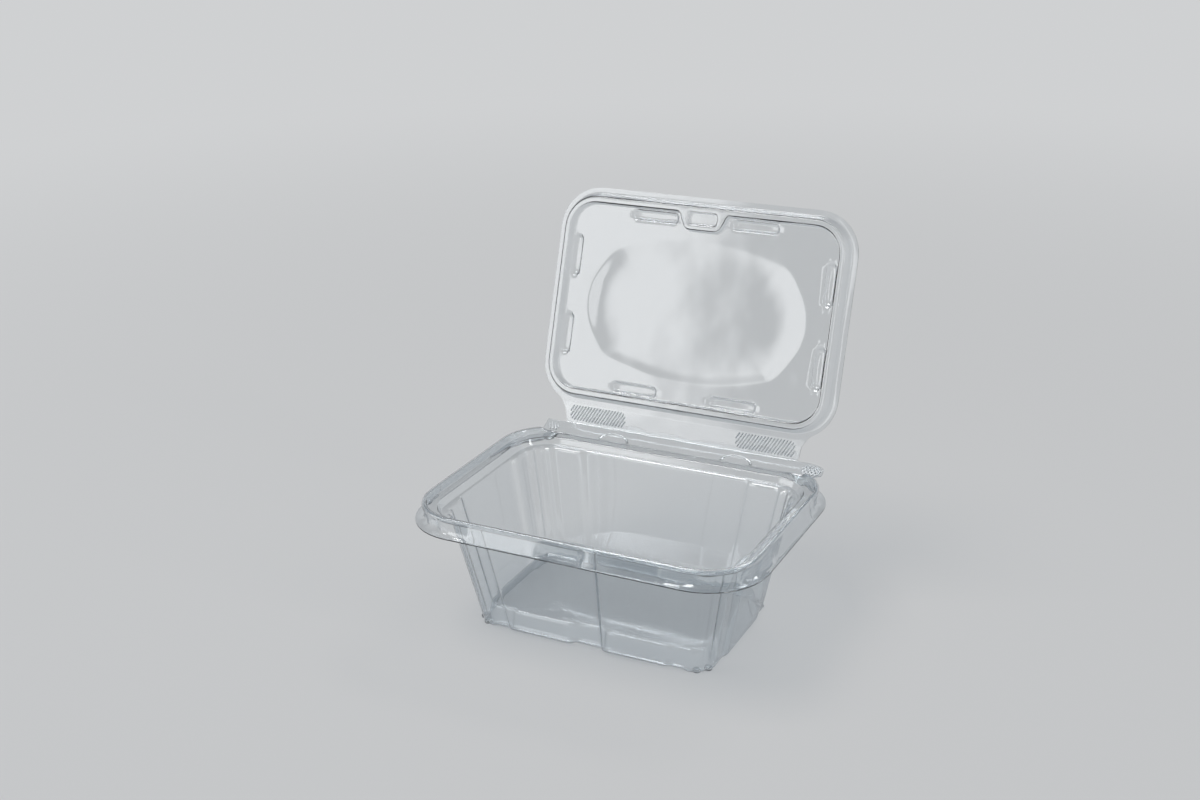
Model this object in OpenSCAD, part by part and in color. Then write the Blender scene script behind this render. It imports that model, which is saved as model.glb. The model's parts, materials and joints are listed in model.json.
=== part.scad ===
// Clear clamshell pack: a tapered tray and its lid, pressed from one sheet and joined by a fold.

/* [Sheet] */
// Thickness of the pressed sheet
wall = 0.5; // [0.4:0.05:0.6]

/* [Tray rim] */
// Width of the rim's top edge
rim_w = 180; // [168:1:200]
// Depth of the rim's top edge, front to back
rim_d = 128; // [120:1:145]
// Height of the rim's top edge above the table
rim_h = 69; // [56:1:85]
// Corner radius of the rim's top edge
rim_r = 27; // [26:0.5:30]
// Height of the skirt outside the rim
skirt_h = 9.5; // [7:0.5:12]
// How far the skirt leans out at its foot
skirt_flare = 2.7; // [1.5:0.1:3.5]
// Width of the lip turned out under the skirt
lip_w = 1.2; // [0.8:0.1:2]
// Width of the guard bead round the lid's seat
bead_w = 2.4; // [2.2:0.1:3]
// Drop from the bead's top to the lid's seat
seat_drop = 3.5; // [3:0.1:4.2]
// Width of the lid's seat
seat_w = 4.8; // [4.4:0.1:5.4]
// Drop of the sloped wall inside the seat
plug_drop = 3.5; // [3.5:0.1:4.5]
// Run of the sloped wall inside the seat
plug_run = 1.8; // [1.4:0.1:2]
// Width of the ledge under the sloped wall
ledge_w = 1.6; // [1.2:0.1:2]

/* [Tray walls] */
// Width of the tray at its foot
base_w = 133; // [124:1:140]
// Depth of the tray at its foot, front to back
base_d = 85; // [80:1:92]
// Corner radius of the tray at its foot
base_r = 13; // [12:0.5:15]
// How far the corners stand in from the wide wall panels
step_in = 2.4; // [1.5:0.1:3]
// Depth of the upright flutes in the corners
flute = 0.9; // [0.4:0.1:1.2]
// Depth of the latch recess in the middle of the front wall
latch_in = 6; // [4:0.5:7]
// Width of the latch recess
latch_w = 20; // [16:0.5:24]
// Distance from the middle to the end of the front panels, at the rim
front_panel = 52; // [40:0.5:54]
// Distance from the middle to the end of the back panel, at the rim
back_panel = 48.5; // [40:0.5:54]
// Distance from the middle to the end of the side panels, at the rim
side_panel = 27; // [20:0.5:30]

/* [Tray floor] */
// Height of the raised floor above the table
floor_rise = 10; // [6:0.5:12]
// Distance of the floor's edge from the foot's outline
floor_in = 5.5; // [5:0.1:6.5]
// Width of the foot ring
foot_w = 2.2; // [1.6:0.1:2.6]
// How far the foot ring lifts off the table between the corners
foot_lift = 0.8; // [0.4:0.1:1.2]

/* [Tear strip] */
// Width of the tear strip between the rim and the fold
strip_w = 8.4; // [7.5:0.1:9.5]
// Upward lean of the tear strip
strip_tilt = 28; // [24:1:32]
// Reach of the strip's plain end from the middle
strip_left = 79.5; // [77:0.5:82]
// Reach of the strip's pull tab from the middle
strip_right = 83.5; // [81:0.5:87]
// Width of the pull tab
tab_w = 9.2; // [8.6:0.1:9.6]
// Width of the raised loops on the strip
loop_w = 17; // [14:0.5:20]
// Distance of the loops from the middle
loop_at = 36; // [30:0.5:42]

/* [Lid] */
// Opening angle of the lid
lid_open = 109; // [95:1:120]
// Gap between the lid's edge and the guard bead
lid_gap = 1.5; // [1:0.05:1.8]
// Gap between the lid's plug ring and the sloped wall
plug_gap = 0.6; // [0.5:0.05:0.8]
// Gap between the closed lid's plug ring and the ledge
seat_gap = 0.3; // [0.3:0.05:0.5]
// Depth of the plug ring under the lid's flange
plug_h = 6; // [5.5:0.1:6.2]
// Run of the plug ring's outer wall
plug_lean = 2.3; // [1.8:0.1:2.6]
// Width of the plug ring's floor
plug_w = 2.6; // [1.8:0.1:3]
// Run of the plug ring's inner wall
plug_back = 1; // [0.8:0.1:1.4]
// Drop from the lid's flange to its panel
panel_drop = 1.9; // [1:0.1:2.5]
// Height of the stacking lugs
lug_h = 2.5; // [1.5:0.1:3]
// Width of the stacking lugs
lug_w = 5.6; // [4.8:0.1:6]
// Run of the lugs' sloped sides
lug_slope = 1.4; // [0.8:0.1:1.6]
// Length of the stacking lugs on the long sides
lug_long = 26.5; // [20:0.5:30]
// Gap between the two lugs of a long side
lug_gap = 31; // [29:0.5:36]
// Length of the stacking lugs on the short sides
end_lug_long = 22; // [16:0.5:23]
// Gap between the two lugs of a short side
end_lug_gap = 21.5; // [16:0.5:24]
// How far the soft dome stands in from the lid's short sides
dome_side = 24.9; // [23:0.1:30]
// How far the soft dome stands in from the lid's long sides
dome_long = 22.4; // [21.5:0.1:27]
// Corner radius of the soft dome
dome_r = 26; // [20:1:30]
// Rise of the soft dome
dome_rise = 1.6; // [0.8:0.1:2.5]
// How far the plug ring widens behind the latch button
latch_out = 9.3; // [8:0.1:10]
// Width of that widened stretch
notch_w = 23.6; // [20:0.1:26]
// Length of the latch button
button_w = 15; // [12:0.5:17]
// Width of the latch button
button_d = 6.6; // [5.5:0.1:7]
// Height of the latch button
button_h = 2; // [1.2:0.1:2.5]

/* [Hinge flap] */
// How far the flap's sides stand in from the lid's sides
flap_in = 17; // [15:0.2:20]
// Radius of the sweep from the lid's corner into the flap
flap_sweep = 6; // [5:0.5:8]
// Corner radius of the flap at the fold
flap_r = 3; // [2:0.5:4]
// Gap from each edge of the fold to the fold's axis
fold_gap = 0.2; // [0.15:0.05:0.3]
// Half the gap between the strip and the flap at the closed fold
leaf_gap = 0.15; // [0.15:0.05:0.25]
// Length of the grip patches
grip_w = 34; // [28:0.5:36]
// Height of the grip patches over the flap
grip_h = 0.25; // [0.2:0.05:0.4]

/* [Hidden] */
$fn = 32;
clear = [0.86, 0.9, 0.93, 0.4];

// Rim heights, measured at the middle of the sheet
top_z = rim_h - wall / 2;
seat_z = rim_h - seat_drop - wall / 2;
ledge_z = seat_z - plug_drop;
wall_in = bead_w + seat_w + plug_run + ledge_w;

// Fold axis, with the strip under it and the flap over it
leaf = wall / 2 + leaf_gap;
strip_y = rim_d / 2 - 0.5;
fold_y = strip_y + strip_w * cos(strip_tilt) - leaf * sin(strip_tilt);
fold_z = seat_z + strip_w * sin(strip_tilt) + leaf * cos(strip_tilt);

// Lid outline, and the heights of its plug ring, flange and panel when closed
lid_in = bead_w + wall / 2 + lid_gap;
lid_x = rim_w / 2 - lid_in;
lid_y = rim_d / 2 - lid_in;
lid_r = rim_r - lid_in;
plug_z = ledge_z + wall + seat_gap;
lid_z = plug_z + plug_h;
panel_z = lid_z - panel_drop;

// Middle of the pack's footprint, lid standing open
near_y = rim_d / 2 + skirt_flare + lip_w;
far_y = fold_y - (fold_y + lid_y) * cos(lid_open) - (fold_z - lid_z - wall / 2) * sin(lid_open);
mid_y = (far_y - near_y) / 2;

// Corner stations of the tray, with the depth of the flutes at each
turn = [0, 10, 20, 30, 32, 38.5, 45, 51.5, 58, 60, 70, 80, 90];
groove = [0, 0, 1, 1, 0, 0, 1, 0, 0, 1, 1, 0, 0];
lid_turn = [0, 15, 30, 45, 60, 75, 90];
bead_end = 31;

function unit(v) = v / max(norm(v), 0.0001);

function mirror_marks(m) = [for (k = [len(m) - 1 : -1 : 0]) [-m[k][0], m[k][1], m[k][2], m[k][3]]];

// Stations along one half of a side: [share of the straight, step, latch, flag]
function panel_marks(at, q) = [[at - q, 0, 0, 0], [at + q, 1, 0, 0]];

function both(m) = concat(mirror_marks(m), m);

function side_stations(side, marks) = [for (m = marks) [side, m[0], m[1], m[2], m[3], 0]];

// Stations round one corner of the tray; the bead stops near the fold and the feet stand in the corners
function corner_stations(side) = [for (k = [0 : len(turn) - 1])
    let(back = side == 3 ? 90 - turn[k] : side == 5 ? turn[k] : 90)
    [side, turn[k], 1 + groove[k] * flute / step_in, 0,
     back < bead_end ? 1 : 0, turn[k] > 5 && turn[k] < 85 ? 1 : 0]];

run_x = rim_w / 2 - rim_r;
run_y = rim_d / 2 - rim_r;
latch_marks = [[(latch_w / 2 - 0.9) / run_x, 0, 1, 0], [(latch_w / 2 + 0.9) / run_x, 0, 0, 0]];
back_marks = [for (m = both(panel_marks(back_panel / run_x, 0.6 / run_x))) [m[0], m[1], m[2], 1]];
tray_stations = concat(
    side_stations(0, both(concat(latch_marks, panel_marks(front_panel / run_x, 0.6 / run_x)))),
    corner_stations(1),
    side_stations(2, both(panel_marks(side_panel / run_y, 0.6 / run_y))),
    corner_stations(3),
    side_stations(4, back_marks),
    corner_stations(5),
    side_stations(6, both(panel_marks(side_panel / run_y, 0.6 / run_y))),
    corner_stations(7));

// Stations of the lid: two lugs to a side, and the latch in the middle of the far side
function lug_marks(gap, long, run) =
    let(q = lug_slope / 2 / run, from = gap / 2 / run, to = from + long / run)
    [[from - q, 0, 0, 0], [from + q, 0, 0, 1], [to - q, 0, 0, 1], [to + q, 0, 0, 0]];

lid_run_x = lid_x - lid_r;
lid_run_y = lid_y - lid_r;
far_lugs = lug_marks(lug_gap, lug_long, lid_run_x);
end_lugs = lug_marks(end_lug_gap, end_lug_long, lid_run_y);
notch_marks = [[(notch_w / 2 - 1.2) / lid_run_x, 0, 1, 0], [(notch_w / 2 + 1.2) / lid_run_x, 0, 0, 0]];
function lid_corner(side) = [for (a = lid_turn) [side, a, 0, 0, 0, 0]];
lid_stations = concat(
    side_stations(0, both(concat(notch_marks, far_lugs))),
    lid_corner(1),
    side_stations(2, both(end_lugs)),
    lid_corner(3),
    side_stations(4, both(far_lugs)),
    lid_corner(5),
    side_stations(6, both(end_lugs)),
    lid_corner(7));

// A point of an outline [half width, half depth, corner radius, height], pushed in by a dent
function place(s, g, dent) =
    let(f = s[1], lx = g[0] - g[2], ly = g[1] - g[2], r = g[2] - dent)
    s[0] == 0 ? [f * lx, dent - g[1], g[3]] :
    s[0] == 1 ? [lx + r * sin(f), -ly - r * cos(f), g[3]] :
    s[0] == 2 ? [g[0] - dent, f * ly, g[3]] :
    s[0] == 3 ? [lx + r * cos(f), ly + r * sin(f), g[3]] :
    s[0] == 4 ? [-f * lx, g[1] - dent, g[3]] :
    s[0] == 5 ? [-lx - r * sin(f), ly + r * cos(f), g[3]] :
    s[0] == 6 ? [dent - g[0], -f * ly, g[3]] :
    [-lx - r * cos(f), -ly - r * sin(f), g[3]];

// The sheet's normal at one ring of a section
function lean(path, which, k) =
    let(a = path[max(k - 1, 0)][which], b = path[k][which], c = path[min(k + 1, len(path) - 1)][which],
        u = unit([b[0] - a[0], b[3] - a[3]]), w = unit([c[0] - b[0], c[3] - b[3]]),
        m = unit(k == 0 ? w : k == len(path) - 1 ? u : u + w),
        s = 1 / max(0.75, m * (k == 0 ? w : u)))
    [-m[1] * s, m[0] * s];

function shift(g, n, d) = [g[0] + n[0] * d, g[1] + n[0] * d, max(g[2] + n[0] * d, 0.8), g[3] + n[1] * d];

// One ring of the sheet, d above its middle
function ring(stations, path, k, d) =
    let(e = path[k], g = [shift(e[0], lean(path, 0, k), d), shift(e[1], lean(path, 1, k), d)])
    [for (s = stations)
        let(other = (e[2] == 1 && s[4] == 1) || (e[2] == 2 && s[5] == 1))
        place(s, g[other ? 1 : 0], s[2] * e[3] + s[3] * e[4])];

// A pressed sheet: rings from the middle out over the section and back underneath
module sheet(stations, path) {
    n = len(stations);
    m = len(path);
    rows = 2 * m;
    points = concat(
        [for (k = [0 : m - 1]) each ring(stations, path, k, wall / 2)],
        [for (k = [m - 1 : -1 : 0]) each ring(stations, path, k, -wall / 2)]);
    bands = [for (k = [0 : rows - 2]) for (j = [0 : n - 1])
        let(a = k * n + j, b = k * n + (j + 1) % n)
        each [[a, b, b + n], [a, b + n, a + n]]];
    caps = [[for (j = [n - 1 : -1 : 0]) j], [for (j = [0 : n - 1]) (rows - 1) * n + j]];
    polyhedron(points = points, faces = concat(caps, bands));
}

// Outlines of the tray
function rim_ring(inset, z) = [rim_w / 2 - inset, rim_d / 2 - inset, rim_r - inset, z];
function base_ring(inset, z) = [base_w / 2 - inset, base_d / 2 - inset, base_r - inset, z];
function wall_ring(k) = base_ring(0, foot_z + 1.4) * (1 - k) + rim_ring(wall_in, ledge_z) * k;

// One ring of the tray: [outline, other outline, flag that picks it, step depth, latch depth]
function plain(g, step, latch) = [g, g, 0, step, latch];
function at_feet(g, step, latch) = [[g[0], g[1], g[2], g[3] + foot_lift], g, 2, step, latch];
function at_bead(inset, z, flat) = [rim_ring(inset, z), rim_ring(flat, seat_z), 1, 0, 0];

foot_z = wall / 2;
floor_z = floor_rise;
tray_path = [
    plain([base_w * 0.15, base_d * 0.15, base_r * 0.3, floor_z], 0, 0),
    plain(base_ring(floor_in + 4, floor_z), 0, 0),
    plain(base_ring(floor_in + 0.4, floor_z), step_in * 0.5, latch_in * 0.42),
    plain(base_ring(floor_in - 0.3, floor_z - 0.7), step_in * 0.5, latch_in * 0.42),
    at_feet(base_ring(foot_w + 0.9, foot_z + 0.5), step_in * 0.6, latch_in * 0.45),
    at_feet(base_ring(foot_w + 0.4, foot_z), step_in * 0.6, latch_in * 0.45),
    at_feet(base_ring(0.4, foot_z), step_in * 0.6, latch_in * 0.45),
    at_feet(base_ring(0, foot_z + 1.4), step_in * 0.65, latch_in * 0.5),
    plain(wall_ring(0.35), step_in * 0.75, latch_in * 0.65),
    plain(wall_ring(0.7), step_in * 0.9, latch_in * 0.85),
    plain(wall_ring(1), step_in, latch_in),
    plain(rim_ring(wall_in - ledge_w, ledge_z), 0, 0),
    plain(rim_ring(bead_w + seat_w, seat_z), 0, 0),
    at_bead(bead_w, seat_z, bead_w),
    at_bead(bead_w - 0.3, top_z - 0.5, bead_w - 0.5),
    at_bead(bead_w - 0.8, top_z, bead_w - 0.9),
    at_bead(0.6, top_z, bead_w - 1.3),
    at_bead(0, top_z - 0.8, 0.7),
    at_bead(-skirt_flare, rim_h - skirt_h + wall / 2, 0.3),
    at_bead(-skirt_flare - lip_w, rim_h - skirt_h + wall / 2, -0.1)];

// Plate with rounded corners, one hull round a list of [x, y, radius]
module slab(corners, h) {
    hull() for (c = corners) translate([c[0], c[1], 0])
        cylinder(r = c[2], h = h, $fn = c[2] < 0.5 ? 6 : 24);
}

// Slanted ribs of a finger grip, in a patch of the given length and width
module ribs(long, wide, count, h) {
    slant = wide * 0.5;
    for (k = [0 : count - 1]) {
        x = 1.6 + (long - slant - 3.2) * k / (count - 1);
        slab([[x, 0.5, 0.3], [x + slant, wide - 0.5, 0.3]], h);
    }
}

// Tear strip lying on its own plane: root at the rim, far edge at the fold
module strip_flat() {
    edge = strip_w - fold_gap;
    tab_r = tab_w / 2;
    translate([0, 0, -wall / 2]) {
        slab([[1.5 - strip_left, 1.5, 1.5], [2.5 - strip_left, edge - 2.5, 2.5],
              [strip_right - 2 * tab_w, 1, 1], [strip_right - 2 * tab_w, edge - 1, 1]], wall);
        slab([[strip_right - tab_r, edge - tab_r, tab_r], [strip_right - 2 * tab_w - 2, 1, 1],
              [strip_right - 2 * tab_w - 2, edge - 1, 1]], wall);
        translate([-run_x, -0.8, 0]) cube([2 * run_x, 2.2, wall]);
    }
    for (s = [-1, 1]) translate([s * loop_at, 0, 0])
        slab([[1 - loop_w / 2, 1, 1], [-loop_w * 0.22, strip_w * 0.6 - 2, 2],
              [loop_w * 0.22, strip_w * 0.6 - 2, 2], [loop_w / 2 - 1, 1, 1]], wall / 2 + 0.35);
    translate([strip_right - tab_w - 3.5, edge - tab_w + 1.2, 0])
        ribs(tab_w + 2.2, tab_w - 2.4, 6, wall / 2 + grip_h);
}

module strip() {
    translate([0, strip_y, seat_z]) rotate([strip_tilt, 0, 0]) strip_flat();
}

// Two small studs under each corner of the tray
module studs() {
    for (sx = [-1, 1]) for (sy = [-1, 1]) for (a = [28, 62])
        translate([sx * (base_w / 2 - base_r), sy * (base_d / 2 - base_r), 0])
            rotate([0, 0, atan2(sy * sin(a), sx * cos(a))])
                translate([base_r - step_in * 0.6 - 1.4, 0, 0])
                    hull() {
                        cylinder(r = 1.5, h = 0.6, $fn = 16);
                        cylinder(r = 1.1, h = 1.2, $fn = 16);
                    }
}

module tray() {
    color(clear) translate([0, -mid_y, 0]) union() {
        sheet(tray_stations, tray_path);
        strip();
        studs();
    }
}

// Outlines and section of the lid, lying closed
function lid_ring(inset, z) = [lid_x - inset, lid_y - inset, max(lid_r - inset, 2), z];
function dome_ring(inset, z) =
    [lid_x - dome_side - inset, lid_y - dome_long - inset, dome_r - inset, z];
function at_lugs(inset, latch) = [lid_ring(inset, panel_z), lid_ring(inset, panel_z + lug_h), 1, 0, latch];

// The plug ring stands off the sloped wall inside the seat, measured from the lid's edge
slope_wall = wall * norm([plug_run, plug_drop]) / plug_drop;
plug_out = bead_w + seat_w + plug_run * (seat_z - plug_z) / plug_drop + slope_wall + plug_gap - lid_in;
flange_w = plug_out - plug_lean;
panel_in = plug_out + plug_w + plug_back;
lug_in = panel_in + 0.6;
lug_end = lug_in + lug_w;
lid_path = [
    plain(dome_ring(dome_r - 4, panel_z + dome_rise), 0, 0),
    plain(dome_ring(9, panel_z + dome_rise * 0.8), 0, 0),
    plain(dome_ring(0, panel_z), 0, 0),
    plain(lid_ring(lug_end, panel_z), 0, latch_out * 0.5),
    at_lugs(lug_end - lug_slope, latch_out * 0.61),
    at_lugs(lug_in + lug_slope, latch_out * 0.87),
    plain(lid_ring(lug_in, panel_z), 0, latch_out),
    plain(lid_ring(panel_in, panel_z), 0, latch_out),
    plain(lid_ring(plug_out + plug_w, plug_z), 0, latch_out),
    plain(lid_ring(plug_out, plug_z), 0, 0),
    plain(lid_ring(flange_w, lid_z), 0, 0),
    plain(lid_ring(0, lid_z), 0, 0)];

// Hinge flap: its side sweeps out of the lid's corner and ends in rounded corners at the fold
flap_x = lid_x - flap_in;
arc_x = lid_x - lid_r;
arc_y = lid_y - lid_r;
sweep_y = arc_y + sqrt(pow(lid_r + flap_sweep, 2) - pow(flap_x + flap_sweep - arc_x, 2));
touch = flap_sweep / (lid_r + flap_sweep);
touch_y = sweep_y - (sweep_y - arc_y) * touch;
flap_lean = atan2(fold_z - lid_z, fold_y - lid_y) + asin(leaf / norm([fold_z - lid_z, fold_y - lid_y]));
flap_run = (fold_y - lid_y) / cos(flap_lean) - leaf * tan(flap_lean) - fold_gap;
function sweep_x(y) = flap_x + flap_sweep - sqrt(pow(flap_sweep, 2) - pow(min(sweep_y - y, flap_sweep), 2));

// Half width of the flap at a height over the table-wise line y
function flap_half(y, left) =
    y < sweep_y ? sweep_x(y) :
    left < flap_r ? flap_x - flap_r + sqrt(pow(flap_r, 2) - pow(flap_r - left, 2)) : flap_x;
flat_rows = [for (k = [0 : 3]) let(y = touch_y - 0.6 + (lid_y - touch_y + 0.6) * k / 3)
    [y, lid_z, flap_half(max(y, touch_y), 9), 0]];
lean_rows = [for (k = [1 : 8])
    let(v = flap_run * (k < 6 ? k / 7 : 1 - (8 - k) / 14), y = lid_y + v * cos(flap_lean))
    [y, lid_z + v * sin(flap_lean), flap_half(y, flap_run - v), flap_lean]];
flap_rows = concat(flat_rows, lean_rows);

module flap() {
    half = wall / 2 - 0.02;
    n = len(flap_rows);
    points = [for (r = flap_rows) each [
        [-r[2], r[0] - half * sin(r[3]), r[1] + half * cos(r[3])],
        [r[2], r[0] - half * sin(r[3]), r[1] + half * cos(r[3])],
        [r[2], r[0] + half * sin(r[3]), r[1] - half * cos(r[3])],
        [-r[2], r[0] + half * sin(r[3]), r[1] - half * cos(r[3])]]];
    bands = [for (k = [0 : n - 2]) for (j = [0 : 3])
        let(a = 4 * k + j, b = 4 * k + (j + 1) % 4)
        each [[a, a + 4, b + 4], [a, b + 4, b]]];
    last = [for (j = [1 : 4]) 4 * n - j];
    polyhedron(points = points, faces = concat([[0, 1, 2, 3]], bands, [last]));
}

// Raised patch with slanted ribs for a finger grip, on the outer side of the flap
module grip() {
    w = flap_run - 1.6;
    r = w / 2 - 0.2;
    slab([[r, r, r], [r, w - r, r], [grip_w - 2, 2, 2], [grip_w - 2, w - 2, 2]], wall / 2 + 0.1);
    translate([1.5, 0, 0]) ribs(grip_w - 2, w, 12, wall / 2 + grip_h);
}

// Latch button, tapered towards its top
module button(grow) {
    x = button_w / 2 - 1.5;
    y = button_d / 2 - 1.5;
    translate([0, -lid_y + plug_out + (latch_out + plug_w) / 2, 0])
        hull() for (sx = [-1, 1]) for (sy = [-1, 1])
            translate([sx * x, sy * y, 0])
                cylinder(r1 = 1.5 + grow, r2 = 0.9 + grow, h = button_h + wall / 2 + grow, $fn = 16);
}

module lid_closed() {
    difference() {
        union() {
            sheet(lid_stations, lid_path);
            flap();
            translate([0, 0, plug_z]) button(0);
            translate([0, lid_y, lid_z]) rotate([flap_lean, 0, 0]) {
                translate([flap_x - 2.5 - grip_w, 0.8, 0]) grip();
                mirror([1, 0, 0]) translate([flap_x - 2.5 - grip_w, 0.8, 0]) grip();
            }
        }
        translate([0, 0, plug_z - wall - 0.01]) button(-wall);
    }
}

module lid() {
    color(clear) translate([0, fold_y - mid_y, fold_z]) rotate([-lid_open, 0, 0])
        translate([0, -fold_y, -fold_z]) lid_closed();
}

tray();
lid();
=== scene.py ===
import json
from math import asin, atan2, cos, degrees, hypot, radians, sin

import bmesh
import bpy
from mathutils import Matrix, Vector


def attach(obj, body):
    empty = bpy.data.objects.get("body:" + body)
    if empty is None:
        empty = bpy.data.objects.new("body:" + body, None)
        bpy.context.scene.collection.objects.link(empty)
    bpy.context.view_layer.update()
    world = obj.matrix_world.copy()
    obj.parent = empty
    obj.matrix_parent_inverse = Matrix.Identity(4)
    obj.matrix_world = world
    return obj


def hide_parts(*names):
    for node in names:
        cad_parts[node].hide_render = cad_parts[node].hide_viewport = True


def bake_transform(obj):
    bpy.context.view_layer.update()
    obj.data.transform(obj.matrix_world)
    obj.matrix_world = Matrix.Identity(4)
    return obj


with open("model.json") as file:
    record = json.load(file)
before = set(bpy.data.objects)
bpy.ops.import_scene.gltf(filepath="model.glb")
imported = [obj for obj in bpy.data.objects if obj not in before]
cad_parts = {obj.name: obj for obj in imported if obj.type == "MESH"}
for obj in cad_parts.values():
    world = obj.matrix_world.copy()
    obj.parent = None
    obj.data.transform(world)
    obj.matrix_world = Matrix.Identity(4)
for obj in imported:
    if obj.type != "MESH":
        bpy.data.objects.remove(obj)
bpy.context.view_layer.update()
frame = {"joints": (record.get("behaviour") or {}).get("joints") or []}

# Sizes in millimetres, with the tray's middle at zero and the fold at the back.
# An outline is [half width, half depth, corner radius].
SHEET = 0.5
RIM = (90, 64, 27)
WALL_TOP, WALL_FOOT = (79.4, 53.4), (66.5, 42.5, 13)
LID = (85.85, 59.85, 22.85)
RUN_X, RUN_Y = RIM[0] - RIM[2], RIM[1] - RIM[2]
SEAT, LEDGE = 65.25, 61.75
FLANGE, PLUG_FLOOR, PANEL = 68.55, 62.55, 66.65
FLOOR = 10
FRONT_PANEL, BACK_PANEL, SIDE_PANEL, RECESS = 52, 48.5, 27, 10

# Tear strip, fold and hinge flap
STRIP_Y, STRIP_W, STRIP_TILT = 63.5, 8.4, 28
LEAF = 0.4
HINGE = [1000 * c for c in frame["joints"][0]["pos_m"]]
FOLD_Y = STRIP_Y + STRIP_W * cos(radians(STRIP_TILT)) - LEAF * sin(radians(STRIP_TILT))
FOLD_Z = HINGE[2]
MID = FOLD_Y - HINGE[1]
LID_OPEN = -frame["joints"][0]["range_deg"][0]
FLAP_REACH = hypot(FOLD_Y - LID[1], FOLD_Z - FLANGE)
FLAP_LEAN = degrees(atan2(FOLD_Z - FLANGE, FOLD_Y - LID[1]) + asin(LEAF / FLAP_REACH))
FLAP_RUN, FLAP_HALF, FLAP_FLARE = 10.7, 68.85, 1.2
FILM = 0.24
ON_STRIP = {"root": (0, STRIP_Y, SEAT), "lean": STRIP_TILT}
ON_FLAP = {"root": (0, LID[1], FLANGE), "lean": FLAP_LEAN, "turn": -LID_OPEN}


# Points of a blank round each corner and along its long and its short sides, and the angle that stays soft
CORNER_POINTS, SIDE_POINTS = 14, (41, 23)
SOFT_ANGLE = 40


# Work on the open piece

def begin(add, name, **shape):
    """Adds a primitive with nothing else selected, and opens it for editing."""
    bpy.ops.object.select_all(action="DESELECT")
    add(**shape)
    piece = bpy.context.object
    piece.name = piece.data.name = name
    bpy.ops.object.mode_set(mode="EDIT")
    return piece


def pick(kind, test, open_only=False):
    """Selects the points, edges or faces whose every corner passes the test, and says how many."""
    bpy.ops.mesh.select_mode(type=kind)
    bpy.ops.mesh.select_all(action="DESELECT")
    mesh = bmesh.from_edit_mesh(bpy.context.object.data)
    parts = {"VERT": mesh.verts, "EDGE": mesh.edges, "FACE": mesh.faces}[kind]
    count = 0
    for part in parts:
        corners = [part] if kind == "VERT" else part.verts
        if all(test(c.co) for c in corners) and (part.is_boundary if open_only else True):
            part.select_set(True)
            count += 1
    bmesh.update_edit_mesh(bpy.context.object.data)
    return count


def selected_reach():
    """Half the width of what is selected."""
    mesh = bmesh.from_edit_mesh(bpy.context.object.data)
    return max(v.co.x for v in mesh.verts if v.select)


def move(x=0, y=0, z=0):
    bpy.ops.transform.translate(value=(x, y, z))


def scale(x=1, y=1, z=1, about=(0, 0, 0)):
    bpy.ops.transform.resize(value=(x, y, z), center_override=about)


def pull(x=0, y=0, z=0):
    """Extrudes what is selected."""
    bpy.ops.mesh.extrude_region_move(TRANSFORM_OT_translate={"value": (x, y, z)})


def step_in(inset, rise):
    """One more ring inside the selected face."""
    bpy.ops.mesh.inset(thickness=inset, depth=rise, use_even_offset=True, use_boundary=True)


def follow(path):
    """Rings inside the selected face, along a section of [inset, height] points."""
    for (inset, z), (inner, deeper) in zip(path, path[1:]):
        step_in(inner - inset, deeper - z)


def blank(name, outline, grow, height):
    """A flat blank with round corners, and points along its straight sides."""
    piece = begin(bpy.ops.mesh.primitive_plane_add, name, size=2)
    scale(outline[0] + grow, outline[1] + grow)
    move(z=height)
    bpy.ops.mesh.bevel(offset=outline[2] + grow, offset_type="OFFSET", segments=CORNER_POINTS,
                       affect="VERTICES")
    for along, cuts in enumerate(SIDE_POINTS):
        bpy.ops.mesh.select_mode(type="EDGE")
        mesh = bmesh.from_edit_mesh(piece.data)
        lengths = {edge: abs(edge.verts[0].co[along] - edge.verts[1].co[along]) for edge in mesh.edges}
        longest = max(lengths.values())
        for edge, length in lengths.items():
            edge.select_set(length > longest - 0.01)
        bmesh.update_edit_mesh(piece.data)
        bpy.ops.mesh.subdivide(number_cuts=cuts)
        bpy.ops.mesh.select_mode(type="FACE")
        bpy.ops.mesh.select_all(action="SELECT")
        bpy.ops.mesh.dissolve_faces()
    return piece


def slide(along, side, points):
    """Slides points of a straight side along it, from where they are to where they are wanted."""
    for was, wanted in points:
        for sign in (-1, 1):
            pick("VERT", lambda p: abs(p[along] - sign * was) < 0.2 and p[1 - along] * side > 0)
            shift = [0, 0]
            shift[along] = sign * (wanted - was)
            move(*shift)


def select_blank():
    bpy.ops.mesh.select_mode(type="FACE")
    bpy.ops.mesh.select_all(action="SELECT")


def gap(p, outline):
    """How far a point lies outside a rounded outline."""
    qx = abs(p[0]) - outline[0] + outline[2]
    qy = abs(p[1]) - outline[1] + outline[2]
    return hypot(max(qx, 0), max(qy, 0)) + min(max(qx, qy), 0) - outline[2]


def apply(piece, kind, **settings):
    modifier = piece.modifiers.new(kind.lower(), kind)
    for name, setting in settings.items():
        setattr(modifier, name, setting)
    bpy.ops.object.modifier_apply(modifier=modifier.name)


def press(piece, thickness, middle=None):
    """Rounds the control mesh, closes its flat middle and gives the sheet its thickness."""
    bpy.ops.object.mode_set(mode="OBJECT")
    apply(piece, "SUBSURF", levels=1, render_levels=1)
    if middle:
        bpy.ops.object.mode_set(mode="EDIT")
        pick("EDGE", middle, open_only=True)
        bpy.ops.mesh.edge_face_add()
        bpy.ops.object.mode_set(mode="OBJECT")
    apply(piece, "SOLIDIFY", thickness=thickness, offset=0)


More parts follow.
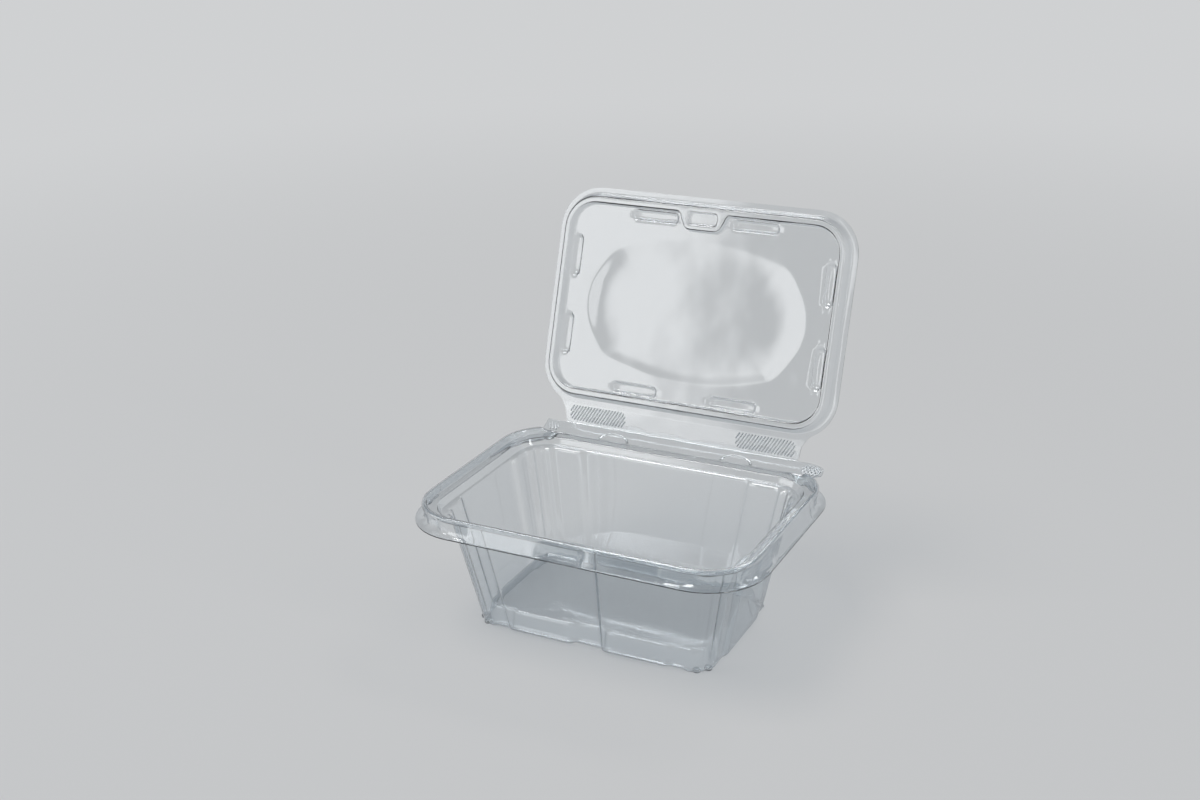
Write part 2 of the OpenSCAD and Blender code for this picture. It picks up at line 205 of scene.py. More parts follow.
def set_down(piece, root=(0, 0, 0), lean=0, turn=0):
    """Sets a finished piece on its root, leans it, swings it about the fold and brings it to metres."""
    bpy.ops.object.mode_set(mode="OBJECT")
    fold = Vector((0, FOLD_Y, FOLD_Z))
    swing = Matrix.Rotation(radians(turn), 3, "X")
    piece.rotation_euler.x = radians(lean + turn)
    piece.scale = (0.001, 0.001, 0.001)
    piece.location = (swing @ (Vector(root) - fold) + fold - Vector((0, MID, 0))) / 1000
    bpy.ops.object.transform_apply(location=True, rotation=True, scale=True)
    bpy.ops.object.shade_smooth_by_angle(angle=radians(SOFT_ANGLE))
    return piece


# Tray

# Sections, as [inset, height] points: lip, skirt, bead, seat and ledge, then foot ring and floor
RIM_PATH = [(-3.9, 59.75), (-3.0, 59.75), (-2.72, 59.82), (-2.58, 60.25), (-0.25, 67.3), (-0.05, 68.0),
            (0.3, 68.62), (0.8, 68.82), (1.4, 68.82), (1.85, 68.5), (2.1, 67.8), (2.35, 65.8), (2.5, 65.35),
            (2.9, SEAT), (6.75, SEAT), (7.15, 65.2), (7.4, 64.9), (8.8, 62.15), (9.0, 61.83),
            (9.4, LEDGE), (10.3, LEDGE)]
FOOT_PATH = [(0.15, 1.0), (0.5, 0.4), (1.0, 0.25), (2.2, 0.25), (2.7, 0.45), (3.1, 0.9), (3.4, 2.2),
             (4.9, 8.3), (5.2, 9.2), (5.6, 9.8), (6.1, FLOOR)]
FLOOR_RINGS, FLOOR_CROWN = (0.85, 0.6), 0.02
BEAD_WIDE, BEAD_END = 2.4, 31

# Rings of the wall, as shares of the way from its foot to the ledge
WALL_SHARES = [0.995, 0.975, 0.9, 0.75, 0.55, 0.35, 0.18, 0.06, 0]
WALL_LOW = 1.65

# Points that slide along the straight sides to the edges of the recess and the panels, as [from, to]
FRONT_SLIDES = [(9, 9.3), (12, 10.7), (51, 51.5), (54, 52.5)]
BACK_SLIDES = [(51, 49)]
SIDE_SLIDES = [(24.667, 26.5), (27.75, 27.5)]

# Depths pressed into the wall, at its foot and at the ledge, and the flutes by their place round a corner
STEP_IN, RECESS_IN = (1.56, 2.4), (3, 6)
FLUTE_IN, FLUTE_FADE = 1.5, 0.25
FLUTES = ((16, 29), (41, 49), (61, 74))

# Depths of the corners' step and the recess in the foot ring and at the floor's edge, then the lifted foot
RING_IN, FLOOR_IN = (1.44, 2.7), (1.2, 2.5)
FOOT_RING, FOOT_LIFT, LIFT_X, LIFT_Y = 1.2, 0.8, 53, 29

# Rows of the tear strip from its root, and how far its two ends reach on
STRIP_ROWS = [0, 0.8, 4.2, 7.4, 8.2]
PLAIN_END, PULL_TAB = (8, 5.5, 3), (9, 6.5, 5)
TAB_WIDEN, TAB_NARROW, TAB_MIDDLE = 1.12, 0.5, 3.6


def between(ends, share):
    return ends[0] + (ends[1] - ends[0]) * share


def wall_size(share):
    """Half width, half depth and height of the wall, from its foot at 0 to the ledge at 1."""
    return [between(ends, share) for ends in (*zip(WALL_FOOT, WALL_TOP), (WALL_LOW, LEDGE))]


def straight_run(w, d):
    """Where the straight sides of a ring of the wall end: they shrink with it."""
    ledge = RIM_PATH[-1][0]
    return RUN_X * w / (RIM[0] - ledge), RUN_Y * d / (RIM[1] - ledge)


def shape_tray():
    tray = blank("tray_sheet", RIM, -RIM_PATH[0][0], RIM_PATH[0][1])
    slide(0, -1, FRONT_SLIDES)
    slide(0, 1, BACK_SLIDES)
    for side in (-1, 1):
        slide(1, side, SIDE_SLIDES)
    select_blank()
    follow(RIM_PATH)
    size, z = [half - RIM_PATH[-1][0] for half in RIM[:2]], RIM_PATH[-1][1]
    for share in WALL_SHARES:
        w, d, low = wall_size(share)
        pull(z=low - z)
        scale(w / size[0], d / size[1])
        size, z = (w, d), low
    follow([(0, z), *FOOT_PATH])
    for share in FLOOR_RINGS:
        pull(z=FLOOR_CROWN)
        scale(share, share)
    bpy.ops.mesh.delete(type="ONLY_FACE")
    press_walls()
    lift_foot()
    open_back()
    add_strip()
    press(tray, SHEET, lambda p: p.z < LEDGE / 2)
    return set_down(tray)


def press_ring(z, run, r, depth, flute, recess):
    """Presses one ring of the wall: corners in from the panels, flutes in them, the recess in front."""
    lx, ly = run
    front, back, side = FRONT_PANEL / RUN_X * lx, BACK_PANEL / RUN_X * lx, SIDE_PANEL / RUN_Y * ly

    def on(p):
        return abs(p[2] - z) < 0.03

    pick("VERT", lambda p: on(p) and p[1] < 0 and front < abs(p[0]) < lx - 0.01 and abs(p[1]) > ly)
    move(y=depth)
    pick("VERT", lambda p: on(p) and p[1] > 0 and back < abs(p[0]) < lx - 0.01 and abs(p[1]) > ly)
    move(y=-depth)
    for sx in (-1, 1):
        pick("VERT", lambda p: on(p) and p[0] * sx > lx and side < abs(p[1]) < ly - 0.01)
        move(x=-sx * depth)
        for sy in (-1, 1):
            def round_corner(p):
                return on(p) and p[0] * sx > lx - 0.02 and p[1] * sy > ly - 0.02

            def in_flute(p):
                turn = degrees(atan2(p[1] * sy - ly, p[0] * sx - lx))
                return round_corner(p) and any(a < turn < b for a, b in FLUTES)

            middle = (sx * lx, sy * ly, z)
            if pick("VERT", round_corner):
                scale(1 - depth / r, 1 - depth / r, about=middle)
            if flute and pick("VERT", in_flute):
                scale(1 - flute / (r - depth), 1 - flute / (r - depth), about=middle)
    pick("VERT", lambda p: on(p) and p[1] < 0 and abs(p[0]) < RECESS / RUN_X * lx)
    move(y=recess)


def press_walls():
    for share in WALL_SHARES:
        w, d, z = wall_size(share)
        run = straight_run(w, d)
        flute = FLUTE_IN * min(1, share / FLUTE_FADE)
        press_ring(z, run, w - run[0], between(STEP_IN, share), flute, between(RECESS_IN, share))
    run = straight_run(*WALL_FOOT[:2])
    done = set()
    for inset, z in FOOT_PATH:
        if z not in done:
            step, recess = RING_IN if z < FLOOR / 2 else FLOOR_IN
            press_ring(z, run, WALL_FOOT[0] - run[0] - inset, step, 0, recess)
        done.add(z)


def lift_foot():
    """Lifts the foot between the corners, so that the pack stands on its corners."""
    pick("VERT", lambda p: p[2] < FOOT_RING and (abs(p[0]) < LIFT_X or abs(p[1]) < LIFT_Y))
    move(z=FOOT_LIFT)


def at_back(p):
    """Whether a point of the rim lies behind the bead's ends, which are part of the way round the corners."""
    turn = degrees(atan2(max(abs(p[0]) - RUN_X, 0), max(p[1] - RUN_Y, 0.001)))
    return p[1] > RUN_Y and turn < BEAD_END


def open_back():
    """The bead and skirt stop at the back, where the seat runs on to the tear strip."""
    seat_edge = [size - BEAD_WIDE for size in RIM]
    root = seat_edge[1] + 0.05
    pick("VERT", lambda p: at_back(p) and gap(p, seat_edge) > 0)
    scale(z=0, about=(0, 0, SEAT))
    scale(y=(STRIP_Y - root) / (RIM[1] - RIM_PATH[0][0] - root), about=(0, root, SEAT))


def strip_place(v):
    """Place of a point of the tear strip, v from its root."""
    return STRIP_Y + v * cos(radians(STRIP_TILT)), SEAT + v * sin(radians(STRIP_TILT))


def add_strip():
    """Tear strip from the back edge of the seat, with its plain end and its rounded pull tab."""
    pick("EDGE", lambda p: abs(p[1] - STRIP_Y) < 0.1 and abs(p[2] - SEAT) < 0.1 and abs(p[0]) < RUN_X + 0.1)
    for a, b in zip(STRIP_ROWS, STRIP_ROWS[1:]):
        pull(0, strip_place(b)[0] - strip_place(a)[0], strip_place(b)[1] - strip_place(a)[1])
    pick("EDGE", lambda p: abs(p[0] + RUN_X) < 0.1 and p[1] > STRIP_Y - 0.1)
    for reach in PLAIN_END:
        pull(-reach)
    pick("EDGE", lambda p: abs(p[0] - RUN_X) < 0.1 and p[1] > STRIP_Y - 0.1)
    root, widest, tip = PULL_TAB
    pull(root)
    pull(widest)
    scale(1, TAB_WIDEN, TAB_WIDEN, about=(0, *strip_place(STRIP_ROWS[-1])))
    pull(tip)
    scale(1, TAB_NARROW, TAB_NARROW, about=(0, *strip_place(TAB_MIDDLE)))


# Lid, shaped lying closed

# Lugs along the long and the short sides, from and to, and their rise as [far enough inside, how much more]
LUGS = {0: (15.5, 42.0), 1: (10.75, 32.75)}
LUG_WIDE, LUG_IN, LUG_CORNER = 5.6, 9.8, 2.4
LUG_RINGS = [9.8, 10.3, 10.8, 11.2, 12.6, 14.0, 14.4, 14.9, 15.4]
LUG_RISE = ((0.2, 1.7), (0.9, 0.65), (1.3, 0.13), (2.5, 0.02))

# Points that slide along the straight sides to the ends of the lugs and the latch, as [from, to]
LONG_SLIDES = [(15, 15.5), (18, 16.1), (21, 17), (24, 19.5), (39, 41.4), (36, 40.5), (33, 38)]
SHORT_SLIDES = [(9.25, 10.75), (12.333, 11.35), (15.417, 12.25), (18.5, 15),
                (33.917, 32.75), (30.833, 32.15), (27.75, 31.25), (24.667, 28.5)]
LATCH_SLIDES = [(9, 10.6), (12, 13)]

# Section of the lid: flange, plug ring, panel
LID_PATH = [(0, FLANGE), (0.3, FLANGE), (2.7, FLANGE), (3.1, 68.48), (3.4, 68.1), (5.3, 63.1), (5.55, 62.66),
            (5.95, PLUG_FLOOR), (7.75, PLUG_FLOOR), (8.1, 62.62), (8.3, 63.0), (9.0, 66.0), (9.2, 66.5),
            (9.5, PANEL), *((inset, PANEL) for inset in LUG_RINGS), (15.9, PANEL)]

# Dome: half width and half depth of its foot, how far it sits back, how oval it is, and its section
DOME_FOOT, DOME_BACK, DOME_OVAL = (64, 39.2), 1.8, 0.72
DOME_PATH = [(0, 0), (1, 0.05), (3, 0.34), (7, 0.9), (12, 1.32), (18, 1.54), (24, 1.58)]

# Latch: how far the plug ring's floor widens, how much less at the panel, the button's [inset, rise] rings
LATCH_OUT, LATCH_FADE, LATCH_HALF, LATCH_RINGS = 9.3, 4.5, 11, 7.5
BUTTON_FRONT, BUTTON_BACK = 5.9, 17.2
BUTTON_RINGS = ((1.7, 0), (0.35, 0.2), (0.4, 1.6), (0.4, 0.2), (0.6, 0))

# Hinge flap: how far back the flange sweeps into it, then its rows from its root: flared, full, rounded off
FLAP_BACK = 57.5
FLAP_ROOT, FLAP_FULL, FLAP_END, FLAP_ROUND = 2.4, 4.8, 9.7, 0.985


def shape_lid():
    lid = blank("lid_sheet", LID, 0, FLANGE)
    slide(0, -1, [*LATCH_SLIDES, *LONG_SLIDES])
    slide(0, 1, LONG_SLIDES)
    for side in (-1, 1):
        slide(1, side, SHORT_SLIDES)
    select_blank()
    follow(LID_PATH)
    pull()
    size = [half - LID_PATH[-1][0] for half in LID[:2]]
    scale(DOME_FOOT[0] / size[0], DOME_FOOT[1] / size[1])
    round_dome()
    move(y=DOME_BACK)
    for (inset, z), (inner, higher) in zip(DOME_PATH, DOME_PATH[1:]):
        pull(z=higher - z)
        scale(*((half - inner) / (half - inset) for half in DOME_FOOT), about=(0, DOME_BACK, 0))
    bpy.ops.mesh.delete(type="ONLY_FACE")
    raise_lugs()
    widen_for_latch()
    press_button()
    add_flap()
    press(lid, SHEET, lambda p: abs(p.x) < DOME_FOOT[0] and abs(p.y) < DOME_FOOT[1])
    return set_down(lid, turn=-LID_OPEN)


def round_dome():
    """Rounds the dome's foot towards an oval of the same width and depth."""
    square = DOME_FOOT[0] / DOME_FOOT[1]
    scale(1, square)
    bpy.ops.transform.tosphere(value=DOME_OVAL)
    grown = DOME_FOOT[0] / selected_reach()
    scale(grown, grown / square)


def lid_inset(p):
    return -gap(p, LID)


def lug_inside(p):
    """How far a point lies inside the nearest lug's rounded outline."""
    best = -99
    for along, (start, end) in LUGS.items():
        outer = LID[1 - along] - LUG_IN - LUG_WIDE / 2
        at = (abs(p[along]) - (start + end) / 2, abs(p[1 - along]) - outer)
        best = max(best, -gap(at, ((end - start) / 2, LUG_WIDE / 2, LUG_CORNER)))
    return best


def raise_lugs():
    for inside, rise in LUG_RISE:
        pick("VERT", lambda p: lug_inside(p) > inside)
        move(z=rise)


def widen_for_latch():
    """The plug ring's floor widens inwards behind the latch button."""
    last = LID_PATH[-1][0]
    for inset, _ in reversed(LID_PATH):
        if inset > LATCH_RINGS:
            push = LATCH_OUT - LATCH_FADE * max(0, inset - LUG_IN) / (last - LUG_IN)
            pick("VERT", lambda p: p[1] < 0 and abs(p[0]) < LATCH_HALF and abs(lid_inset(p) - inset) < 0.08)
            move(y=push)


def press_button():
    """Latch button on the widened floor of the plug ring."""
    def on_floor(p):
        from_edge = p[1] + LID[1]
        return BUTTON_FRONT < from_edge < BUTTON_BACK and abs(p[2] - PLUG_FLOOR) < 0.05

    pick("FACE", lambda p: abs(p[0]) < LATCH_HALF - 0.2 and on_floor(p))
    for inset, rise in BUTTON_RINGS:
        bpy.ops.mesh.inset(thickness=inset, depth=rise)


def add_flap():
    """Hinge flap from the flange's back edge, sweeping in from the corners and leaning up to the fold."""
    pick("EDGE", lambda p: p[1] > FLAP_BACK and abs(lid_inset(p)) < 0.03 and abs(p[2] - FLANGE) < 0.05)
    pull()
    lean = radians(FLAP_LEAN)
    flared = FLAP_HALF + FLAP_FLARE
    scale(flared / selected_reach(), 0, 1, about=(0, LID[1], FLANGE))
    move(0, FLAP_ROOT * cos(lean), FLAP_ROOT * sin(lean))
    for a, b, narrow in ((FLAP_ROOT, FLAP_FULL, FLAP_HALF / flared), (FLAP_FULL, FLAP_END, 1),
                         (FLAP_END, FLAP_RUN, FLAP_ROUND)):
        pull(0, (b - a) * cos(lean), (b - a) * sin(lean))
        scale(narrow)


# Fold film between the strip and the flap

# How far it laps over each, its bend from the fold's axis, and how far it ends inside the flap's sides
FILM_LAP = 0.7
FILM_BEND = Vector((0, 0.34, -0.2))
FILM_SIDE = 0.5


def shape_fold():
    """Film from the strip's edge round the bend to the flap's edge."""
    lean = radians(FLAP_LEAN)
    fold = Vector((0, FOLD_Y, FOLD_Z))
    root = Vector((0, LID[1], FLANGE))
    swing = Matrix.Rotation(radians(-LID_OPEN), 3, "X")
    along = Vector((0, cos(lean), sin(lean)))
    flap = [swing @ (root + v * along - fold) for v in (FLAP_RUN, FLAP_RUN - FILM_LAP)]
    edge = STRIP_ROWS[-1]
    strip = [Vector((0, *strip_place(v))) - fold for v in (edge - FILM_LAP, edge)]
    rows = [*strip, FILM_BEND, *flap]
    film = begin(bpy.ops.mesh.primitive_plane_add, "fold_film", size=2)
    scale(FLAP_HALF - FILM_SIDE, 1, 1)
    for side, row in zip((-1, 1), strip):
        pick("EDGE", lambda p: p[1] * side > 0 and abs(p[1]) < 2)
        move(0, row.y + FOLD_Y - side, row.z + FOLD_Z)
    for a, b in zip(rows[1:], rows[2:]):
        pull(0, b.y - a.y, b.z - a.z)
    press(film, FILM)
    return set_down(film)


# Embossing: ribs of the finger grips and the pull tab, loops of the tear strip

# Ribs: height, share of the pitch, shortest one kept, and the rounding of the grips' and the tab's
RIB_TALL, RIB_SHARE, RIB_SHORTEST = 1.0, 0.44, 0.8
GRIP_ROUND, KNURL_ROUND = 0.2, 0.18

# Patches as outlines with their places, the slopes and pitches of their ribs, and the loops
GRIP, GRIP_IN, GRIP_UP = (17, 4.55, 3.4), 2.5, 0.8
KNURL, KNURL_AT = (5.4, 3.6, 3.4), (77, 3.7)
PLAIN_RIBS, PLAIN_RIBS_AT = (3.6, 2.9, 1.2), (-74.2, 4.1)
HATCH_SLOPE, HATCH_PITCH = -0.6, 1.8
KNURL_SLOPE, KNURL_PITCH = 0.7, 2.0
LOOP_AT, LOOP_DEEP, LOOP_LONG, LOOP_LINE = 36, 5, 1.7, 0.4


def rib_span(outline, start, slope):
    """The stretch of a slanted line through a start that lies inside an outline, as [from, to] along v."""
    inside = [v / 10 for v in range(-60, 61) if gap((start + slope * v / 10, v / 10), outline) < -0.25]
    return (inside[0], inside[-1]) if inside else (0, 0)


def begin_ribs(name):
    """An empty piece that ribs are added to."""
    ribs = begin(bpy.ops.mesh.primitive_cube_add, name, size=1)
    bpy.ops.mesh.delete(type="VERT")
    return ribs


def add_ribs(middle, outline, slope, pitch):
    """Slanted ribs that fill a rounded patch."""
    reach = outline[0] + abs(slope) * outline[1]
    count = int(2 * reach / pitch)
    for k in range(count + 1):
        start = (k - count / 2) * pitch
        low, high = rib_span(outline, start, slope)
        if high - low > RIB_SHORTEST:
            half = (low + high) / 2
            bpy.ops.mesh.primitive_cube_add(
                size=1, location=(middle[0] + start + slope * half, middle[1] + half, 0),
                rotation=(0, 0, -atan2(slope, 1)),
                scale=(pitch * RIB_SHARE, (high - low) * hypot(1, slope), RIB_TALL))


def round_ribs(radius):
    bpy.ops.mesh.select_all(action="SELECT")
    bpy.ops.mesh.bevel(offset=radius, segments=2, affect="EDGES")


def shape_grips():
    """Hatched finger grips at both ends of the hinge flap."""
    grips = begin_ribs("grip_ribs")
    middle = FLAP_HALF - GRIP_IN - GRIP[0]
    for side in (-1, 1):
        add_ribs((side * middle, GRIP_UP + GRIP[1]), GRIP, HATCH_SLOPE, HATCH_PITCH)
    round_ribs(GRIP_ROUND)
    return set_down(grips, **ON_FLAP)


def shape_knurl():
    """Crossed ribs of the pull tab, and the ribs at the strip's plain end."""
    knurl = begin_ribs("tab_knurl")
    for slope in (-KNURL_SLOPE, KNURL_SLOPE):
        add_ribs(KNURL_AT, KNURL, slope, KNURL_PITCH)
    add_ribs(PLAIN_RIBS_AT, PLAIN_RIBS, HATCH_SLOPE, HATCH_PITCH)
    round_ribs(KNURL_ROUND)
    return set_down(knurl, **ON_STRIP)


def shape_loops():
    """Half-oval raised lines on the tear strip."""
    loops = begin(bpy.ops.mesh.primitive_torus_add, "strip_loops", major_segments=48, minor_segments=10,
                  major_radius=LOOP_DEEP, minor_radius=LOOP_LINE)
    bpy.ops.mesh.bisect(plane_co=(0, LOOP_LINE, 0), plane_no=(0, 1, 0), clear_inner=True, use_fill=True)
    bpy.ops.mesh.select_all(action="SELECT")
    scale(LOOP_LONG, 1)
    move(-LOOP_AT, 0, SHEET / 2)
    bpy.ops.mesh.duplicate_move(TRANSFORM_OT_translate={"value": (2 * LOOP_AT, 0, 0)})
    return set_down(loops, **ON_STRIP)


# Studs under the corners

# Their size, how far they stand in from the foot's edge, their turns round a corner, and their rounding
STUD_WIDE, STUD_TALL, STUD_IN = 4.2, 2.0, 2.84
STUD_TURNS = (28, 62)
STUD_TOP_ROUND, STUD_TIP_ROUND = 0.9, 0.7


def shape_studs():
    """Two round studs under each corner of the foot."""
    studs = begin(bpy.ops.mesh.primitive_cylinder_add, "foot_studs", vertices=24, radius=STUD_WIDE / 2,
                  depth=STUD_TALL)
    move(z=STUD_TALL / 2)
    pick("EDGE", lambda p: p[2] > STUD_TALL / 2)
    bpy.ops.mesh.bevel(offset=STUD_TOP_ROUND, segments=4, affect="EDGES")
    pick("EDGE", lambda p: p[2] < 0.1)
    bpy.ops.mesh.bevel(offset=STUD_TIP_ROUND, segments=4, affect="EDGES")
    bpy.ops.mesh.select_all(action="SELECT")
    w, d, radius = WALL_FOOT
    places = []
    for sx, sy in ((-1, -1), (-1, 1), (1, -1), (1, 1)):
        for turn in STUD_TURNS:
            x = w - radius + (radius - STUD_IN) * cos(radians(turn))
            y = d - radius + (radius - STUD_IN) * sin(radians(turn))
            places.append(Vector((sx * x, sy * y, 0)))
    move(*places[0])
    for was, place in zip(places, places[1:]):
        bpy.ops.mesh.duplicate_move(TRANSFORM_OT_translate={"value": place - was})
    return set_down(studs)


# Finishes

class Value:
    """A shader value: maths written on it adds the Math nodes."""

    def __init__(self, paint, socket):
        self.paint, self.socket = paint, socket

    def maths(self, operation, *values):
        return self.paint.node("ShaderNodeMath", {"operation": operation}, *values)

    def __add__(self, other):
        return self.maths("ADD", self, other)

    def __mul__(self, other):
        return self.maths("MULTIPLY", self, other)

    def __sub__(self, other):
        return self.maths("SUBTRACT", self, other)

    def __rsub__(self, other):
        return self.maths("SUBTRACT", other, self)

    def __pow__(self, other):
        return self.maths("POWER", self, other)

    def __rpow__(self, other):
        return self.maths("POWER", other, self)

    __radd__, __rmul__ = __add__, __mul__

    def most(self, other):
        return self.maths("MAXIMUM", self, other)

    def least(self, other):
        return self.maths("MINIMUM", self, other)


class Paint:
    """A material or the world, and its nodes."""

    def __init__(self, owner, end):
        owner.use_nodes = True
        self.owner, self.tree = owner, owner.node_tree
        self.tree.nodes.clear()
        self.end = self.tree.nodes.new(end)

    def node(self, kind, settings, *values, out=0, **named):
        """Adds a node: settings first, then values or links by the order or the names of its sockets."""
        node = self.tree.nodes.new(kind)
        for name, setting in settings.items():
            setattr(node, name, setting)
        for key, value in [*enumerate(values), *((k.replace("_", " "), v) for k, v in named.items())]:
            if value is None:
                continue
            if isinstance(value, Value):
                self.tree.links.new(value.socket, node.inputs[key])
            else:
                node.inputs[key].default_value = value
        return Value(self, node.outputs[out])

    def turn_into(self, share, first, second):
        """One colour turning into another."""
        return self.node("ShaderNodeMix", {"data_type": "RGBA"}, share, *[None] * 5, first, second, out=2)

    def place(self):
        """Object coordinates in millimetres."""
        at = self.node("ShaderNodeTexCoord", {}, out="Object")
        return self.node("ShaderNodeVectorMath", {"operation": "MULTIPLY"}, at, (1000, 1000, 1000))

    def noise(self, at, size, detail=2.0, rough=0.5):
        """Soft noise between 0 and 1, with features about a size across."""
        return self.node("ShaderNodeTexNoise", {}, Vector=at, Scale=1 / size, Detail=detail,
                         Roughness=rough)

    def ray(self, *kinds):
        """1 for rays of these kinds."""
        first, *rest = (self.node("ShaderNodeLightPath", {}, out=kind) for kind in kinds)
        for other in rest:
            first = first.most(other)
        return first

    def smooth(self, value, low, high):
        """Rises smoothly from 0 to 1 between two values."""
        return self.node("ShaderNodeMapRange", {"interpolation_type": "SMOOTHSTEP"}, value, low, high)

    def output(self, shader):
        self.tree.links.new(shader.socket, self.end.inputs["Surface"])
        return self.owner


def material(name):
    return Paint(bpy.data.materials.new(name), "ShaderNodeOutputMaterial")


# Clear sheet: its own tint face on, painted shade edge on, the tint in the shadow, and the sizes of its sway
# and smudges in millimetres
SHEET_IOR = 1.55
FACE_TINT, EDGE_ON_SHADE, SHADOW_TINT = (0.94, 0.96, 0.972, 1), (0.28, 0.34, 0.4, 1), (0.82, 0.845, 0.865, 1)
WIDE_SWAY, FINE_SWAY, SMUDGE = 48, 17, 16
FINE_SHARE = 0.15


def clear_sheet(name, gloss, haze, sway, clear=1.0):
    """Clear pressed sheet: glossy, with smudges, darkened edge on by painted shade, and swaying a little as
    thin sheet does.

    Light for the floor passes straight through it."""
    paint = material(name)
    at = paint.place()
    height = paint.noise(at, WIDE_SWAY, 1.0) * sway + paint.noise(at, FINE_SWAY, 1.0) * (FINE_SHARE * sway)
    bump = paint.node("ShaderNodeBump", {}, Strength=1.0, Distance=0.001, Height=height)
    smudge = paint.noise(at, SMUDGE, 4.0, 0.6)
    # Painted shade: the sheet's colour darkens towards an edge-on view. This gives its edges the look of dark
    # reflections and is far darker than the sheet's own tint.
    edge_on_shade_share = paint.node("ShaderNodeLayerWeight", {}, 0.5, out="Facing") ** 2
    sheet_tint_and_edge_shade = paint.turn_into(edge_on_shade_share, FACE_TINT, EDGE_ON_SHADE)
    skin = paint.node("ShaderNodeBsdfPrincipled", {}, Base_Color=sheet_tint_and_edge_shade, Roughness=gloss + haze * smudge ** 3,
                      IOR=SHEET_IOR, Transmission_Weight=clear, Normal=bump)
    through = paint.node("ShaderNodeBsdfTransparent", {}, Color=SHADOW_TINT)
    lighting = paint.ray("Is Shadow Ray", "Is Diffuse Ray")
    return paint.output(paint.node("ShaderNodeMixShader", {}, lighting, skin, through))


# Pieces, their finishes, and the bodies that they ride on

tray, lid, film = shape_tray(), shape_lid(), shape_fold()
grips, knurl, loops, studs = shape_grips(), shape_knurl(), shape_loops(), shape_studs()
tray_finish = clear_sheet("clear_tray_sheet", gloss=0.012, haze=0.12, sway=0.3)
lid_finish = clear_sheet("clear_lid_sheet", gloss=0.012, haze=0.12, sway=0.8)
frosted = clear_sheet("frosted_embossing", gloss=0.2, haze=0.4, sway=0.1, clear=0.45)
for piece, finish, body in (
        (tray, tray_finish, "tray"), (studs, tray_finish, "tray"), (loops, tray_finish, "tray"),
        (knurl, frosted, "tray"), (lid, lid_finish, "lid"), (grips, frosted, "lid"),
        (film, lid_finish, None)):
    piece.data.materials.clear()
    piece.data.materials.append(finish)
    if body:
        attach(piece, body)
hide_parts("tray")
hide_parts("lid")
(FOLD_Y - MID - 0.05) / 1000
(FOLD_Z - 0.45) / 1000
(FOLD_Y - MID + 0.39) / 1000
(FOLD_Z + 0.21) / 1000
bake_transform(film)


# Stage, light and camera

PALE, PALE_LEVEL = (0.66, 0.67, 0.68, 1), 0.95
DIM, DIM_LEVEL = (0.9, 0.95, 1, 1), 0.08
SEEN = ("Is Camera Ray", "Is Glossy Ray", "Is Transmission Ray")
EVEN_NEAR, EVEN_FROM, EVEN_TO = 0.45, 300, 1400


def pale_floor():
    """Pale matt floor: lit by the lamps near the pack, so that it keeps the shadow, and even further out."""
    paint = material("pale_floor")
    out = paint.node("ShaderNodeVectorMath", {"operation": "LENGTH"}, paint.place(), out="Value")
    share = EVEN_NEAR + (1 - EVEN_NEAR) * paint.smooth(out, EVEN_FROM, EVEN_TO)
    lit = paint.node("ShaderNodeBsdfDiffuse", {}, Color=PALE)
    even = paint.node("ShaderNodeEmission", {}, Color=PALE, Strength=PALE_LEVEL)
    return paint.output(paint.node("ShaderNodeMixShader", {}, paint.ray(*SEEN) * share, lit, even))


def studio_world():
    """A pale backdrop behind the pack, and a dim room in front of it and over it."""
    paint = Paint(bpy.data.worlds.new("studio"), "ShaderNodeOutputWorld")
    at = paint.node("ShaderNodeTexCoord", {}, out="Generated")
    behind = paint.smooth(paint.node("ShaderNodeSeparateXYZ", {}, at, out="Y"), -0.2, 0.3)
    over = paint.smooth(paint.node("ShaderNodeSeparateXYZ", {}, at, out="Z"), 0.3, 0.5)
    seen = paint.ray("Is Camera Ray").most(paint.ray(*SEEN) * behind * (1 - over))
    dim = paint.node("ShaderNodeBackground", {}, Color=DIM, Strength=DIM_LEVEL)
    pale = paint.node("ShaderNodeBackground", {}, Color=PALE, Strength=PALE_LEVEL)
    return paint.output(paint.node("ShaderNodeMixShader", {}, seen, dim, pale))


def lamp(name, place, aim, size, power, feather=0, roll=0):
    """A softbox, in metres and watts. One with a feathered edge, as a share of its width, is only there
    to be mirrored in the sheet."""
    bpy.ops.object.light_add(type="AREA", location=place)
    light = bpy.context.object
    light.name = name
    light.rotation_euler = (Vector(aim) - Vector(place)).to_track_quat("-Z", "Y").to_euler()
    light.rotation_euler.rotate_axis("Z", radians(roll))
    light.data.shape = "RECTANGLE"
    light.data.size, light.data.size_y = size
    light.data.energy = power
    if feather:
        light.visible_diffuse = False
        paint = Paint(light.data, "ShaderNodeOutputLight")
        at = paint.node("ShaderNodeNewGeometry", {}, out="Parametric")
        level = 1
        for axis in "XY":
            across = paint.node("ShaderNodeSeparateXYZ", {}, at, out=axis)
            level = level * paint.smooth(across.least(1 - across), 0, feather)
        paint.output(paint.node("ShaderNodeEmission", {}, Strength=level))


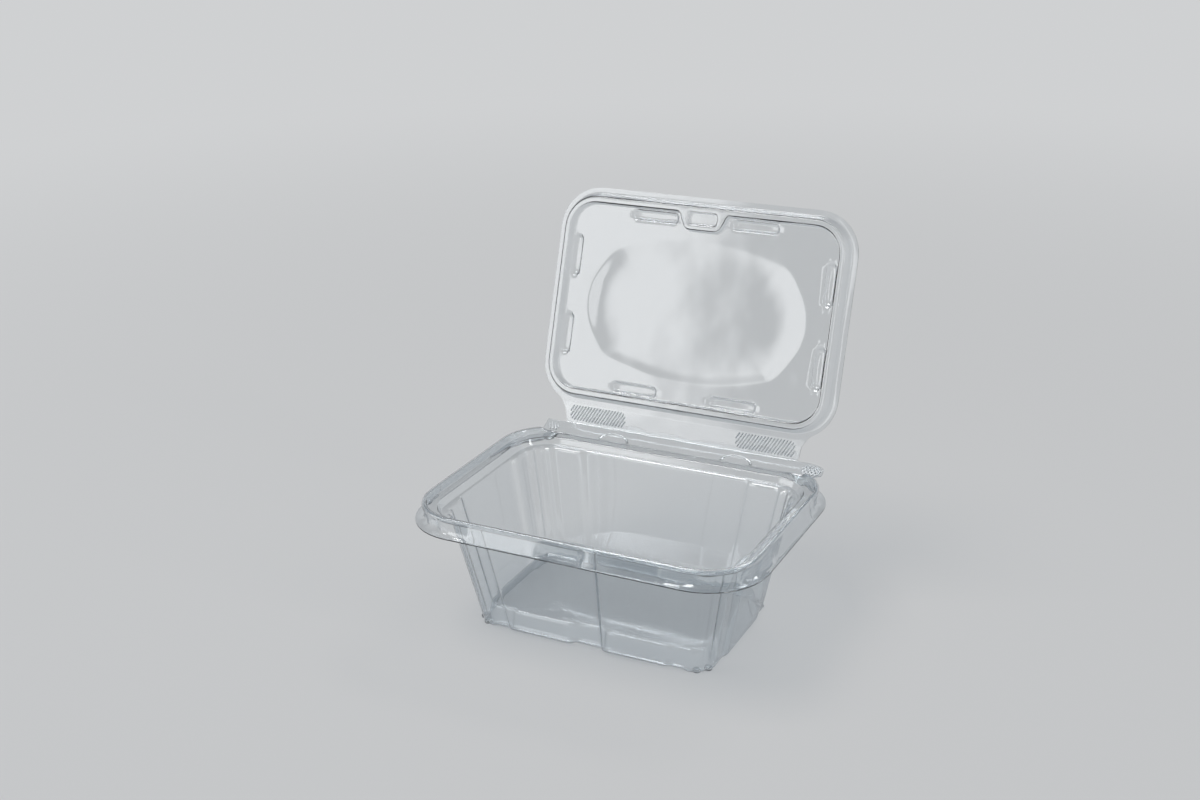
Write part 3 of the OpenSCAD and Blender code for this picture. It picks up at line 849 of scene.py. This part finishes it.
floor = begin(bpy.ops.mesh.primitive_plane_add, "floor", size=30)
bpy.ops.object.mode_set(mode="OBJECT")
floor.data.materials.append(pale_floor())
bpy.context.scene.world = studio_world()

lamp("key_softbox", (-1.0, -0.6, 2.6), (0, 0, 0.05), (1.6, 1.2), 50)
lamp("front_softbox", (-0.66, -0.58, 0.28), (0, 0.06, 0.13), (0.95, 0.62), 4.8, feather=0.14, roll=10)
lamp("fill_softbox", (-0.44, -2.46, 0.94), (0, 0.06, 0.13), (0.5, 0.9), 3, feather=0.15)
lamp("low_softbox", (-0.2, -0.85, 0.07), (0, 0.03, 0.05), (0.9, 0.14), 0.4, feather=0.2)
lamp("back_softbox", (0.35, 1.1, 1.5), (0, 0, 0.07), (0.8, 0.3), 5)
lamp("side_strip", (1.2, -0.1, 0.6), (0, 0, 0.07), (0.14, 0.9), 2.5)

# Camera fitted to the photograph: angles in degrees, places in millimetres, focal length in its pixels
AZIMUTH, ELEVATION, ROLL = radians(27.0417), radians(21.4884), radians(-1.2256)
AIM_RIGHT, AIM_UP, DISTANCE = -9.6603, 118.3685, 794.2252
FOCAL, PHOTO_WIDE, SENSOR = 1611.688, 1200, 36

back = Vector((sin(AZIMUTH) * cos(ELEVATION), -cos(AZIMUTH) * cos(ELEVATION), sin(ELEVATION)))
right = Vector((cos(AZIMUTH), sin(AZIMUTH), 0))
up = back.cross(right)
right, up = cos(ROLL) * right + sin(ROLL) * up, -sin(ROLL) * right + cos(ROLL) * up
place = (right * AIM_RIGHT + Vector((0, -MID, AIM_UP)) + back * DISTANCE) / 1000
bpy.ops.object.camera_add()
camera = bpy.context.object
camera.name = "photo_camera"
camera.matrix_world = Matrix.Translation(place) @ Matrix((right, up, back)).transposed().to_4x4()
camera.data.sensor_width, camera.data.sensor_fit = SENSOR, "HORIZONTAL"
camera.data.lens = FOCAL / PHOTO_WIDE * SENSOR
camera.data.clip_start, camera.data.clip_end = 0.01, 50

scene = bpy.context.scene
scene.camera = camera
scene.view_settings.view_transform = "Standard"
scene.cycles.max_bounces = 28
scene.cycles.transmission_bounces = 24
scene.cycles.transparent_max_bounces = 24
